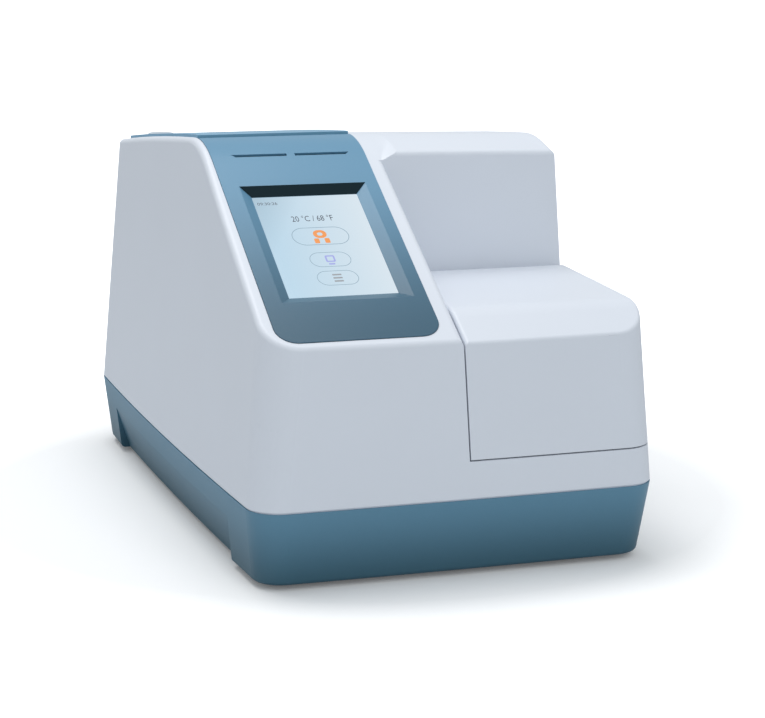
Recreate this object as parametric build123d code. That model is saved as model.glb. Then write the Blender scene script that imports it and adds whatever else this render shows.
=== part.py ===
from build123d import *
import math
import os

# Glycated hemoglobin analyzer, in millimetres: X right, Y to the back, Z up,
# origin on the table under the middle of the footprint.

# Body: seam outline, taper and side outline
width = 200.0
depth = 328.0
seam_height = 37.0
side_bow = 3.0
end_bow = 0.9
seam_corner = 15.5
crown_corner = 20.0
taper_height = 150.0
side_taper = 11.6
front_taper = 3.9
rear_taper = 3.0
slope_angle = 31.3
slope_foot = 108.8
crest_radius = 55.0
top_level = 181.2
top_level_back = 218.0
top_fall = 0.1025
top_curve = 0.000153
edge_radius = 2.7
wall = 3.0

# Rear block beside the tower
block_setback = 113.5
block_brow = 181.6
brow_length = 23.5
ramp_lead = 0.45
ramp_width = 7.65
block_tilt = 0.02

# Face of the tower that looks over the lid
tower_width = 99.3
tower_face_z = 107.0
tower_face_draft = 0.0614
tower_face_toe = 0.035

# Lid
deck_height = 55.0
lid_gap = 0.7
lid_slope_foot = 107.8
lid_crest_radius = 22.0
lid_rear_level = 124.0
lid_fall = 0.035
lid_wall = 2.6
lid_edge = 2.0
hinge_roll = 7.5

# Base tray and feet
floor_height = 2.6
tray_side_taper = 4.0
tray_front_taper = 6.3
tray_rear_taper = 5.1
tray_edge = 2.4
tray_wall = 3.0
tray_rim = 4.9
rim_overlap = 3.0
grip_front_inset = 42.0
grip_rear_inset = 44.0
grip_top = 25.0
grip_depth = 5.4
foot_radius = 8.0
foot_inset_x = 24.0
foot_inset_y = 30.0
running_gap = 0.3

# Blue bezel on the slope and blue cover on the top
bezel_side = 15.1
bezel_margin = 7.9
bezel_start = 6.5
bezel_corner = 10.0
bezel_length = 141.5
bezel_sink = 1.9
bezel_proud = 0.4
crest_groove = 3.0
top_cover_proud = 1.4
top_cover_inset = 36.0

# Screen
screen_width = 51.6
screen_height = 71.8
screen_start = 38.9
screen_shift = 0.95
screen_depth = 2.9
screen_side_chamfer = 5.3
screen_foot_chamfer = 6.1
frame_margin = 3.0
glass_thickness = 1.2
glass_lap = 2.2
panel_thickness = 4.0
panel_clip = 1.2

# Status windows near the crest
status_u = 139.2
status_length = 27.4
status_height = 2.0
status_bridge = 4.0

# Hinge
rod_radius = 2.0
bore_clearance = 0.05
eye_radius = 4.5
bracket_width = 6.0
bracket_drop = 14.0
bracket_inset = 15.4
bracket_neck = 4.4
bracket_flange = 19.0
bracket_flange_side = 4.0
bracket_plate = 2.4
side_gap = 0.4


# Cartridge drive: rods and screw that carry the cartridge to the optics
guide_radius = 2.5
rod_spread = 24.0
screw_radius = 3.0
drive_height = 62.5
carriage_width = 60.0
carriage_length = 42.0
carriage_height = 26.0
carriage_inset = 56.0
carriage_travel = 84.0
pocket_width = 44.0
pocket_length = 28.0
pocket_floor = 67.8
bush_radius = 4.0
bush_length = 8.0
nut_radius = 4.2
nut_length = 14.0
carriage_lift = 1.0
liner_plate = 2.4
liner_gap = 1.8
liner_rim = 1.8
liner_rim_height = 4.0
bearing_inset = 14.0
bearing_length = 9.0
bearing_height = 12.0
window_side = 4.0
window_clear = 3.2

# Chassis in the rear block
chassis_level = 42.0
sheet = 2.0
chassis_side = 6.0
chassis_end = 44.0
post_radius = 4.0
post_inset = 13.0
drive_end = 41.0
bracket_sheet = 2.5
bracket_width_x = 68.0
bracket_height = 42.0
bracket_foot = 18.0
motor_size = 35.0
motor_length = 28.0
motor_corner = 3.5
shaft_depth = 12.0
heater_width = 44.0
heater_length = 38.0
heater_gap = 0.6
bridge_width = 74.0
bridge_length = 34.0
bridge_height = 52.0
bridge_foot = 7.0
camera_size = 30.0
camera_height = 22.0
barrel_radius = 9.0
barrel_length = 8.0
led_outer = 15.0
led_thickness = 2.2
reader_width = 6.5
reader_gap = 1.5
reader_length = 20.0
reader_height = 16.0

# Boards and connectors in the tray
board_level = 14.0
board_thickness = 1.6
board_side = 12.0
board_front_inset = 54.0
board_rear_inset = 14.0
board_gap = 4.0
standoff_radius = 3.0
standoff_inset = 7.0
module_height = 5.0
usb_width = 14.4
usb_height = 14.0
lan_width = 16.0
lan_height = 13.2
inlet_width = 10.0
inlet_height = 11.0
port_wall = 1.0
port_depth = 13.0
port_length = 17.0
port_spacing = 2.6
port_margin = 3.0
port_fit = 0.25
speaker_radius = 14.0
speaker_height = 8.0

# Fits and small parts
bezel_fit = 0.15
seam_groove = 0.8
overshoot = 15.0
tray_bottom = 2.5
grip_lip = 0.4
lug_inset_x = 40.0
lug_inset_y = 22.0
lug_height = 8.0
column_radius = 5.5
screw_shank = 1.6
screw_pilot = 1.5
screw_head = 3.2
head_depth = 4.0
foot_recess = 1.0
port_inset = 42.0
port_low = 10.0
port_width = 54.0
port_height = 20.0
port_recess = 8.0
port_plate = 2.0
ear_width = 5.0
button_inset = 14.0
button_back = 12.0
button_radius = 7.0
button_height = 4.0
button_proud = 0.9
button_travel = 1.2
vent_slots = 6
vent_start_y = 20.0
vent_pitch = 8.0
vent_width = 2.6
vent_length = 46.0

# Places worked out from the sizes above
front_y = -depth / 2
rear_y = depth / 2
top_level_y = front_y + top_level_back
block_front = front_y + block_setback
brow_top_y = block_front + brow_length
tower_face_x = -width / 2 + tower_width
ramp_start = tower_face_x - ramp_lead
ramp_end = ramp_start + ramp_width
bezel_left = -width / 2 + bezel_side
bezel_right = tower_face_x - bezel_margin
bezel_end_y = front_y + bezel_length
top_cover_end_y = rear_y - top_cover_inset
screen_x = (bezel_left + bezel_right) / 2 + screen_shift
screen_middle = screen_start + screen_height / 2
frame_half_x = screen_width / 2 + screen_side_chamfer + frame_margin
frame_half_u = screen_height / 2 + screen_foot_chamfer + frame_margin
well_depth = screen_depth + glass_thickness + panel_thickness + panel_clip
hinge_y = block_front - lid_gap - hinge_roll
hinge_z = lid_rear_level - hinge_roll
floor_top = tray_bottom + floor_height
deck_top = deck_height - lid_gap / 2
lug_x = width / 2 - lug_inset_x
lug_y = depth / 2 - lug_inset_y
foot_x = width / 2 - foot_inset_x
foot_y = depth / 2 - foot_inset_y
port_left = -width / 2 + port_inset
port_plane = rear_y - port_recess
axis_x = (tower_face_x + width / 2) / 2
carriage_low = deck_top + liner_plate + carriage_lift
carriage_rest_y = front_y + carriage_inset
carriage_stop_y = carriage_rest_y + carriage_travel
bearing_y = front_y + bearing_inset
window_top = carriage_low + carriage_height + window_clear
chassis_top = chassis_level + sheet
bridge_top = chassis_top + bridge_height
lens_y = carriage_stop_y
board_top = board_level + board_thickness


def slope_z(y, foot=slope_foot):
    """Height of the slope plane at y, from its foot at the front face."""
    return foot + (y + depth / 2) * math.tan(math.radians(slope_angle))


def top_z(y):
    """Height of the top, which falls ever faster to the back."""
    back = y - top_level_y
    return top_level - top_fall * back - top_curve * back * back


def plan_face(z, half_width, front, rear, corner, inset):
    """Plan outline with bowed sides and rounded corners, inset all round."""
    hw = half_width - inset
    fy = front + inset
    ry = rear - inset
    waist = hw - side_bow
    outline = [
        ThreePointArc((-waist, fy, z), (0, fy - end_bow, z), (waist, fy, z)),
        ThreePointArc((waist, fy, z), (hw, (fy + ry) / 2, z), (waist, ry, z)),
        ThreePointArc((waist, ry, z), (0, ry + end_bow / 2, z), (-waist, ry, z)),
        ThreePointArc((-waist, ry, z), (-hw, (fy + ry) / 2, z), (-waist, fy, z)),
    ]
    face = make_face(Wire(outline))
    return fillet(face.vertices(), max(corner - inset, 1.0))


def tapered_body(inset=0.0):
    """The housing's drafted hull from the seam to above the crest."""
    front = -depth / 2 + end_bow
    rear = depth / 2 - end_bow / 2
    low = plan_face(seam_height, width / 2, front, rear, seam_corner, inset)
    high = plan_face(
        seam_height + taper_height + 10,
        width / 2 - side_taper * (taper_height + 10) / taper_height,
        front + front_taper,
        rear - rear_taper,
        crown_corner,
        inset,
    )
    return loft([low, high], ruled=True)


def side_face(x, points, bend=None, radius=0.0):
    """Face in the YZ plane at x from (y, z) points, one corner rounded."""
    edges = []
    for start, end in zip(points, points[1:] + points[:1]):
        if start[0] < end[0] and start == bend:
            middle = (start[0] + end[0]) / 2
            lift = top_z(middle) - (top_z(start[0]) + top_z(end[0])) / 2
            mid = (x, middle, (start[1] + end[1]) / 2 + lift)
            edges.append(ThreePointArc((x, *start), mid, (x, *end)))
        else:
            edges.append(Line((x, *start), (x, *end)))
    face = make_face(Wire(edges))
    if bend and radius:
        corner = face.vertices().sort_by_distance((x, *bend))[0]
        face = fillet(corner, radius)
    return face


def crest_corner():
    """Where the slope plane and the falling top would meet, found by bisection."""
    low = -depth / 2
    high = 0.0
    for _ in range(40):
        middle = (low + high) / 2
        if slope_z(middle) < top_z(middle):
            low = middle
        else:
            high = middle
    return low, top_z(low)


def tower_face(x, inset=0.0, floor=seam_height, front=None):
    """Side outline of the tower, with the surface lowered by the inset."""
    slope_drop = inset / math.cos(math.radians(slope_angle))
    crest_y, crest_z = crest_corner()
    first = -depth / 2 - overshoot if front is None else front
    rear = depth / 2 + overshoot
    points = [
        (first, floor),
        (first, slope_z(first) - slope_drop),
        (crest_y, crest_z - inset),
        (rear, top_z(rear) - inset),
        (rear, floor),
    ]
    return side_face(x, points, (crest_y, crest_z - inset), crest_radius - inset)


def block_face(x, inset=0.0, floor=seam_height, drop=0.0):
    """Side outline of the rear block, whose brow stands over the lid."""
    front = block_front + inset
    rear = depth / 2 + overshoot
    brow = block_brow - drop - inset
    crest_z = top_z(brow_top_y) - 0.4 - drop - inset
    points = [
        (front, floor),
        (front, brow),
        (brow_top_y, crest_z),
        (rear, top_z(rear) - drop - inset),
        (rear, floor),
    ]
    return side_face(x, points, (brow_top_y, crest_z), crest_radius - inset)


def tower_split(offset=0.0):
    """Plane of the tower's inner face; its normal points over the lid."""
    normal = Vector(1, -tower_face_toe, tower_face_draft).normalized()
    origin = Vector(tower_face_x, -depth / 2, tower_face_z) + normal * offset
    return Plane(origin=origin, z_dir=normal)


def rim_edges(solid, above):
    """Edges round the upward faces of a solid, above a height."""
    seen = {}
    for face in solid.faces():
        if face.normal_at(face.center()).Z > 0.35:
            for edge in face.edges():
                if edge.center().Z > above:
                    key = tuple(round(v, 2) for v in edge.center())
                    seen.setdefault(key, []).append(edge)
    return [group[0] for group in seen.values() if len(group) == 1]


def tower_form(inset=0.0):
    """Solid of the tower, left of its inner face."""
    hull = tapered_body(inset)
    prism = extrude(tower_face(-width, inset), width * 2, (1, 0, 0))
    form = hull & prism
    form = split(form, bisect_by=tower_split(-inset), keep=Keep.BOTTOM)
    if inset == 0:
        form = fillet(rim_edges(form, deck_height), edge_radius)
    return form


def block_form(inset=0.0):
    """Solid of the rear block with the ramp that joins it to the tower."""
    hull = tapered_body(inset)
    near = ramp_start - 6.0
    sections = [
        tower_face(near, inset, front=block_front + inset),
        tower_face(ramp_start, inset, front=block_front + inset),
        block_face(ramp_end, inset),
        block_face(width, inset, drop=block_tilt * (width - ramp_end)),
    ]
    prism = loft(sections, ruled=True)
    form = hull & prism
    return form


def block_form_rounded():
    """The rear block with its brow, right edge and rear edge rounded."""
    form = block_form()
    rims = [edge for edge in rim_edges(form, deck_height) if edge.center().X > ramp_end + 0.5]
    return fillet(rims, edge_radius)


def slab(low_z, high_z):
    """Wide slab between two heights, for trimming."""
    size = high_z - low_z
    return Pos(0, 0, low_z) * Box(width * 2, depth * 2, size, align=(Align.CENTER, Align.CENTER, Align.MIN))


def block_of(x, y, z, length_x, length_y, length_z):
    """Box from its lowest corner and its three lengths."""
    return Pos(x, y, z) * Box(length_x, length_y, length_z, align=(Align.MIN, Align.MIN, Align.MIN))


def round_bar(radius, start, end):
    """Cylinder between two points."""
    path = Vector(*end) - Vector(*start)
    plane = Plane(origin=start, z_dir=path)
    return extrude(plane * Circle(radius), path.length)


def slope_plane(x, u, lift=0.0):
    """Plane on the slope at x, a distance u up from the front face."""
    angle = math.radians(slope_angle)
    up = Vector(0, math.cos(angle), math.sin(angle))
    out = Vector(0, -math.sin(angle), math.cos(angle))
    origin = Vector(x, -depth / 2, slope_foot) + up * u + out * lift
    return Plane(origin=origin, x_dir=(1, 0, 0), z_dir=out)


def skin_prism(left, right, high, low):
    """Layer that follows the tower's slope, crest and top between two depths."""
    outer = extrude(tower_face(left, -high), right - left, (1, 0, 0))
    inner = extrude(tower_face(left, low), right - left, (1, 0, 0))
    return outer - inner


def bezel_zone(grow, high, low):
    """The bezel's layer on the slope, from its foot up to the crest groove."""
    layer = skin_prism(bezel_left - 5, bezel_right + 5, high, low)
    middle_x = (bezel_left + bezel_right) / 2
    span_x = bezel_right - bezel_left + 2 * grow
    span_u = depth
    foot = slope_plane(middle_x, bezel_start - grow + span_u / 2, -crest_radius)
    outline = foot * RectangleRounded(span_x, span_u, bezel_corner + grow)
    layer &= extrude(outline, crest_radius * 2)
    end = Plane(origin=(0, bezel_end_y + grow, 0), z_dir=(0, 1, 0))
    return split(layer, bisect_by=end, keep=Keep.BOTTOM)


def cover_zone(grow, high, low, start):
    """The top cover's layer, from the crest groove to its rear end."""
    layer = skin_prism(bezel_left - grow, bezel_right + grow, high, low)
    length = top_cover_end_y + grow - start
    return layer & block_of(-width, start, seam_height, width * 2, length, depth)


def screen_well(depth_in, grow):
    """Tapered recess down to the screen, wider by the chamfers at its mouth."""
    middle_u = screen_start + screen_height / 2
    floor_plane = slope_plane(screen_x, middle_u, bezel_proud - depth_in)
    mouth_shift = (screen_side_chamfer - screen_foot_chamfer) / 2
    lip = bezel_proud + 1.0
    reach = (depth_in + 1.0) / depth_in
    mouth_plane = slope_plane(screen_x, middle_u + mouth_shift * reach, lip)
    mouth_w = screen_width + 2 * screen_side_chamfer * reach
    mouth_h = screen_height + (screen_side_chamfer + screen_foot_chamfer) * reach
    bottom = floor_plane * Rectangle(screen_width + grow, screen_height + grow)
    mouth = mouth_plane * Rectangle(mouth_w + grow, mouth_h + grow)
    return loft([bottom, mouth], ruled=True)


def slope_box(u, half_x, half_u, low, high, x=None):
    """Box square to the slope, from a depth to a height about its surface."""
    centre = screen_x if x is None else x
    plane = slope_plane(centre, u, low)
    return extrude(plane * Rectangle(half_x * 2, half_u * 2), high - low)


def status_cut(side, grow, low, high):
    """One of the two slanted-end status windows beside the bridge."""
    inner = side * status_bridge / 2
    outer = side * (status_bridge / 2 + status_length)
    half = status_height / 2 + grow
    lean = status_height * side
    points = [
        (inner - side * grow, -half),
        (outer - lean + side * grow, -half),
        (outer + side * grow, half),
        (inner - side * grow, half),
    ]
    plane = slope_plane(screen_x, status_u, low)
    outline = make_face(Polyline([*points, points[0]]))
    return extrude(plane * outline, high - low)


def display_bezel():
    """Blue bezel with the chamfered screen recess and the frame behind it."""
    bezel = bezel_zone(0, bezel_proud, bezel_sink)
    bezel += slope_box(screen_middle, frame_half_x, frame_half_u, -well_depth, 0)
    bezel -= screen_well(screen_depth, 0)
    pocket_low = -well_depth - 1.0
    glass_top = bezel_proud - screen_depth
    half_x = screen_width / 2 + glass_lap
    half_u = screen_height / 2 + glass_lap
    window = slope_box(screen_middle, screen_width / 2, screen_height / 2, pocket_low, 0)
    bezel -= window
    bezel -= slope_box(screen_middle, half_x + 0.15, half_u + 0.15, pocket_low, glass_top)
    for side in (-1, 1):
        bezel -= status_cut(side, 0, -bezel_sink - 4.0, 4.0)
    return bezel


def touch_glass():
    """Touch glass seated behind the bezel's screen opening."""
    top = bezel_proud - screen_depth
    half_x = screen_width / 2 + glass_lap
    half_u = screen_height / 2 + glass_lap
    return slope_box(screen_middle, half_x, half_u, top - glass_thickness, top)


def display_panel():
    """Colour display module clipped behind the glass."""
    top = bezel_proud - screen_depth - glass_thickness
    half_x = screen_width / 2 + glass_lap
    half_u = screen_height / 2 + glass_lap
    body = slope_box(screen_middle, half_x, half_u, top - panel_thickness, top)
    body -= slope_box(screen_middle, half_x - 3, half_u - 3, top - panel_thickness, top - panel_thickness + 1)
    return body


def status_light_guide():
    """Two clear light guides behind the status windows, on one carrier."""
    guides = Part()
    for side in (-1, 1):
        guides += status_cut(side, -0.12, -bezel_sink, -0.9)
    return guides


def crest_gasket():
    """Dark strip that seals the groove between the bezel and the top cover."""
    start = bezel_end_y + 0.15
    layer = skin_prism(bezel_left, bezel_right, -0.9, bezel_sink)
    return layer & block_of(-width, start, seam_height, width * 2, crest_groove - 0.3, depth)


def button_axis():
    """Foot of the power button's axis on the top cover."""
    return bezel_left + button_inset, top_cover_end_y - button_back


def top_cover():
    """Blue cover that runs over the top behind the crest groove."""
    cover = cover_zone(0, top_cover_proud, bezel_sink, bezel_end_y + crest_groove)
    x, y = button_axis()
    cover -= Pos(x, y, top_z(y)) * Cylinder(button_radius + running_gap, 12)
    for slot in range(vent_slots):
        slot_y = vent_start_y + slot * vent_pitch
        shape = Pos(screen_x, slot_y, top_z(slot_y)) * Box(vent_length, vent_width, 12)
        cover -= fillet(shape.edges().filter_by(Axis.Z), vent_width * 0.49)
    return cover


def power_button():
    """Sprung power button with its guide stem, in the top cover."""
    x, y = button_axis()
    top = top_z(y) + top_cover_proud + button_proud
    cap = Pos(x, y, top - button_height / 2) * Cylinder(button_radius, button_height)
    cap = fillet(cap.edges().group_by(Axis.Z)[-1], 1.0)
    stem = Pos(x, y, top - button_height - 3.0) * Cylinder(2.2, 6.0)
    return cap + stem


def button_switch():
    """Push switch under the power button, on a small board."""
    x, y = button_axis()
    top = top_z(y) + top_cover_proud + button_proud - button_height - 6.0 - button_travel - 0.3
    body = block_of(x - 6, y - 6, top - 5, 12, 12, 5)
    board = block_of(x - 14, y - 9, top - 6.6, 28, 18, 1.6)
    hanger_height = top_z(y) - wall - top + 6.6
    posts = Part()
    for side in (-1, 1):
        posts += Pos(x + side * 11, y, top - 6.6 + 1.6) * Cylinder(
            2.5, hanger_height, align=(Align.CENTER, Align.CENTER, Align.MIN)
        )
    limit = top_z(y) - wall - 0.8
    posts &= slab(0, limit)
    return body + board + posts


def upper_housing():
    """White housing shell: tower, rear block and the low front under the lid."""
    low = tapered_body() & slab(seam_height, deck_top)
    outer = tower_form() + block_form_rounded() + low
    hollow = tower_form(wall) + block_form(wall)
    hollow += tapered_body(wall) & slab(seam_height, deck_top - wall)
    shell = outer - hollow
    groove = slab(seam_height, seam_height + seam_groove)
    shell -= groove - (tapered_body(seam_groove) & groove)
    shell -= bezel_zone(bezel_fit, 6.0, bezel_sink)
    shell -= cover_zone(bezel_fit, 6.0, bezel_sink, bezel_end_y)
    shell -= slope_box(screen_middle, frame_half_x + 0.3, frame_half_u + 0.3, -wall * 3, 4.0)
    for side in (-1, 1):
        shell -= status_cut(side, 0.3, -wall * 2, 2.0)
    x, y = button_axis()
    shell -= Pos(x, y, top_z(y)) * Cylinder(button_radius + running_gap, 14)
    for slot in range(vent_slots):
        slot_y = vent_start_y + slot * vent_pitch
        shape = Pos(screen_x, slot_y, top_z(slot_y)) * Box(vent_length, vent_width, 14)
        shell -= shape
    window_low = deck_top + liner_plate
    window_width = carriage_width + 2 * window_side
    window = block_of(
        axis_x - window_width / 2, block_front - 1, window_low, window_width, wall + 2, window_top - window_low
    )
    shell -= fillet(window.edges().filter_by(Axis.Y), 3.0)
    for sx in (-1, 1):
        for sy in (-1, 1):
            lug = block_of(sx * lug_x - 9, sy * lug_y - 22, seam_height + 0.2, 18, 44, lug_height)
            lug &= tapered_body(wall - 0.6)
            lug -= Pos(sx * lug_x, sy * lug_y, seam_height) * Cylinder(screw_pilot, 40)
            shell += lug
    return shell


def lid_form(inset=0.0, floor=None):
    """Solid under the lid's outer skin."""
    hull = tapered_body(inset)
    base = deck_height + lid_gap / 2 if floor is None else floor
    rear = block_front - lid_gap - (0 if inset == 0 else -lid_gap * 4)
    angle = math.tan(math.radians(slope_angle))
    drop = inset / math.cos(math.radians(slope_angle))
    rear_z = lid_rear_level - inset
    slope_at_far = lid_slope_foot - drop - angle * overshoot
    meet = (rear_z - lid_fall * rear - lid_slope_foot + drop - angle * depth / 2) / (angle - lid_fall)
    meet_z = rear_z - lid_fall * (rear - meet)
    far = -depth / 2 - overshoot
    points = [
        (far, base),
        (far, slope_at_far),
        (meet, meet_z),
        (rear, rear_z),
        (rear, base),
    ]
    edges = [Line((-width, *a), (-width, *b)) for a, b in zip(points, points[1:] + points[:1])]
    face = make_face(Wire(edges))
    corner = face.vertices().sort_by_distance((-width, meet, meet_z))[0]
    face = fillet(corner, lid_crest_radius - inset)
    if inset == 0:
        roll = face.vertices().sort_by_distance((-width, rear, rear_z))[0]
        face = fillet(roll, hinge_roll)
    form = hull & extrude(face, width * 2, (1, 0, 0))
    return split(form, bisect_by=tower_split(lid_gap + inset), keep=Keep.TOP)


def hinge_stations():
    """X ranges of the two hinge brackets, outboard on each side."""
    left = tower_face_x + bracket_inset
    right = width / 2 - side_taper / 2 - bracket_inset - bracket_width
    return left, right


def lid_shell():
    """Lid over the cartridge chamber, open below and behind, with hinge ears."""
    lid = lid_form()
    rims = []
    for edge in rim_edges(lid, deck_height + 10):
        if edge.center().Y < block_front - lid_gap - hinge_roll:
            rims.append(edge)
    lid = fillet(rims, lid_edge)
    hollow = lid_form(lid_wall, floor=deck_height - 10)
    front_side = block_of(-width, -depth, 0, width * 2, depth + hinge_y, depth)
    rear_side = extrude(Plane.YZ.offset(-width) * Pos(hinge_y, hinge_z) * Circle(hinge_roll - lid_wall), width * 2)
    below = block_of(-width, hinge_y - 1, 0, width * 2, depth, hinge_z)
    inner_slab = (hollow & front_side) + (hollow & below) + (rear_side & hollow)
    lid -= inner_slab
    lid -= block_of(-width, hinge_y + 1.0, 0, width * 2, depth, hinge_z + 0.01) & hollow
    for x in ear_positions():
        ear = extrude(Plane.YZ.offset(x) * Pos(hinge_y, hinge_z) * Circle(eye_radius), ear_width)
        web = block_of(x, hinge_y - 14, hinge_z, ear_width, 14, hinge_roll - 1.0)
        lid += ear + (web & lid_form(1.0))
    lid -= round_bar(rod_radius + bore_clearance, (0, hinge_y, hinge_z), (width / 2 - 12, hinge_y, hinge_z))
    return lid


def ear_positions():
    """Lowest X of each lid ear, inboard of its bracket."""
    left, right = hinge_stations()
    return left + bracket_width + side_gap, right - side_gap - ear_width


def hinge_bracket(low_x):
    """Gooseneck bracket on the chamber's rear wall that holds the hinge rod."""
    plane = Plane.YZ.offset(low_x)
    foot_z = hinge_z - bracket_drop
    eye = extrude(plane * Pos(hinge_y, hinge_z) * Circle(eye_radius), bracket_width)
    front = hinge_y - 3.0
    neck = block_of(low_x, front, foot_z, bracket_width, bracket_neck, bracket_drop)
    foot = block_of(low_x, front, foot_z - 8.0, bracket_width, block_front - front, 9.0)
    flange = block_of(
        low_x - bracket_flange_side,
        block_front - bracket_plate,
        foot_z - 13.0,
        bracket_width + 2 * bracket_flange_side,
        bracket_plate,
        bracket_flange,
    )
    bracket = eye + neck + foot + flange
    bore = round_bar(rod_radius, (low_x - 9, hinge_y, hinge_z), (low_x + bracket_width + 9, hinge_y, hinge_z))
    return bracket - bore


def hinge_rod():
    """Steel rod through both brackets and the lid's ears."""
    left, right = hinge_stations()
    start = (left - 1.5, hinge_y, hinge_z)
    end = (right + bracket_width + 1.5, hinge_y, hinge_z)
    rod = round_bar(rod_radius, start, end)
    return chamfer(rod.edges().filter_by(GeomType.CIRCLE), 0.4)


def tray_outline(inset, low_taper=0.0):
    """Base tray's tapered hull from its floor to the seam."""
    front = -depth / 2 + end_bow
    rear = depth / 2 - end_bow / 2
    low = plan_face(
        tray_bottom,
        width / 2 - tray_side_taper - low_taper,
        front + tray_front_taper,
        rear - tray_rear_taper,
        seam_corner - 2.0,
        inset,
    )
    high = plan_face(seam_height, width / 2, front, rear, seam_corner, inset)
    return loft([low, high], ruled=True)


def grip_body(inset):
    """What stays of the tray between the side grips."""
    share = (grip_top - tray_bottom) / (seam_height - tray_bottom)
    front = -depth / 2 + end_bow - overshoot
    rear = depth / 2 - end_bow / 2 + overshoot
    half_low = width / 2 - tray_side_taper - grip_depth
    half_top = width / 2 - tray_side_taper * (1 - share) - grip_lip
    low_z = tray_bottom - 1.0
    high_z = grip_top + 2.0
    lean = (half_top - half_low) / (grip_top - low_z)
    half_high = half_low + lean * (high_z - low_z)
    low = plan_face(low_z, half_low, front, rear, seam_corner, inset)
    high = plan_face(high_z, half_high, front, rear, seam_corner, inset)
    return loft([low, high], ruled=True)


def grip_cut():
    """Finger grips undercut along both lower sides."""
    grip_front = front_y + grip_front_inset
    grip_rear = rear_y - grip_rear_inset
    points = [
        (width / 2 + 10, grip_front - 6),
        (width / 2 - grip_depth - 6, grip_front + 14),
        (width / 2 - 40, grip_front + 14),
        (width / 2 - 40, grip_rear),
        (width / 2 + 10, grip_rear),
    ]
    outline = make_face(Polyline([*points, points[0]]))
    band = extrude(Pos(0, 0, tray_bottom - 1) * outline, grip_top - tray_bottom + 1)
    both = band + mirror(band, about=Plane.YZ)
    return both - grip_body(0)


def corner_points(x, y):
    """The four points at plus and minus x and y."""
    return [(sx * x, sy * y) for sx in (-1, 1) for sy in (-1, 1)]


def base_tray():
    """Blue base tray with side grips, screw columns, feet recesses and rear port."""
    tray = tray_outline(0)
    tray = fillet(tray.edges().group_by(Axis.Z)[0], tray_edge)
    tray -= grip_cut()
    tray -= tray_outline(tray_rim) & slab(grip_top, seam_height + 2)
    low_part = tray_outline(tray_wall) & slab(tray_bottom + floor_height, grip_top + 1)
    tray -= low_part & grip_body(tray_wall)
    front = -depth / 2 + end_bow
    rear = depth / 2 - end_bow / 2
    lip_outer = wall + 0.25
    lip = Part()
    lip_root = 1.0
    lip_low = seam_height - lip_root
    lip += extrude(plan_face(lip_low, width / 2, front, rear, seam_corner, lip_outer), lip_root + rim_overlap)
    lip -= extrude(plan_face(lip_low, width / 2, front, rear, seam_corner, lip_outer + 1.4), depth)
    for x, y in corner_points(lug_x, lug_y):
        lip -= block_of(x - 10, y - 24, seam_height - 0.2, 20, 48, 10)
    tray += lip
    for x, y in corner_points(lug_x, lug_y):
        column = Pos(x, y, tray_bottom) * Cylinder(
            column_radius, seam_height - tray_bottom, align=(Align.CENTER, Align.CENTER, Align.MIN)
        )
        tray += column
        tray -= Pos(x, y, 0) * Cylinder(screw_shank + 0.3, 120)
        tray -= Pos(x, y, 0) * Cylinder(screw_head + 0.4, 2 * (tray_bottom + head_depth))
    for x, y in corner_points(foot_x, foot_y):
        tray -= Pos(x, y, tray_bottom) * Cylinder(foot_radius + 0.2, 2 * foot_recess)
    port = block_of(port_left, rear_y - port_recess - 12, port_low, port_width, 30, port_height)
    tray -= port
    return tray


def rubber_feet():
    """Four rubber feet pressed into the tray's recesses."""
    feet = Part()
    for x, y in corner_points(foot_x, foot_y):
        foot = Pos(x, y, 0) * Cylinder(
            foot_radius, tray_bottom + foot_recess, align=(Align.CENTER, Align.CENTER, Align.MIN)
        )
        feet += fillet(foot.edges().group_by(Axis.Z)[0], 0.8)
    return feet


def base_screws():
    """Four screws that pull the tray to the housing's lugs."""
    screws = Part()
    for x, y in corner_points(lug_x, lug_y):
        head_z = tray_bottom + head_depth - 2.4
        head = Pos(x, y, head_z) * Cylinder(screw_head, 2.4, align=(Align.CENTER, Align.CENTER, Align.MIN))
        head -= Pos(x, y, head_z) * Box(4.4, 0.9, 2.0)
        head -= Pos(x, y, head_z) * Box(0.9, 4.4, 2.0)
        length = seam_height + lug_height - head_z - 3.0
        shank = Pos(x, y, head_z + 2.0) * Cylinder(
            screw_pilot, length, align=(Align.CENTER, Align.CENTER, Align.MIN)
        )
        screws += head + shank
    return screws


def chamber_zone(inset, low, high):
    """Room under the lid, clear of its walls, between two heights."""
    room = tapered_body(lid_wall + liner_gap + inset) & slab(low, high)
    room = split(room, bisect_by=tower_split(lid_gap + lid_wall + liner_gap + inset), keep=Keep.TOP)
    rear = block_front - running_gap - inset
    return room & block_of(-width, -depth, 0, width * 2, depth + rear, depth)


def drive_holes(radius_rod, radius_screw, low_y, high_y):
    """Bores for both guide rods and the lead screw, along Y."""
    holes = round_bar(radius_screw, (axis_x, low_y, drive_height), (axis_x, high_y, drive_height))
    for side in (-1, 1):
        x = axis_x + side * rod_spread
        holes += round_bar(radius_rod, (x, low_y, drive_height), (x, high_y, drive_height))
    return holes


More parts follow.
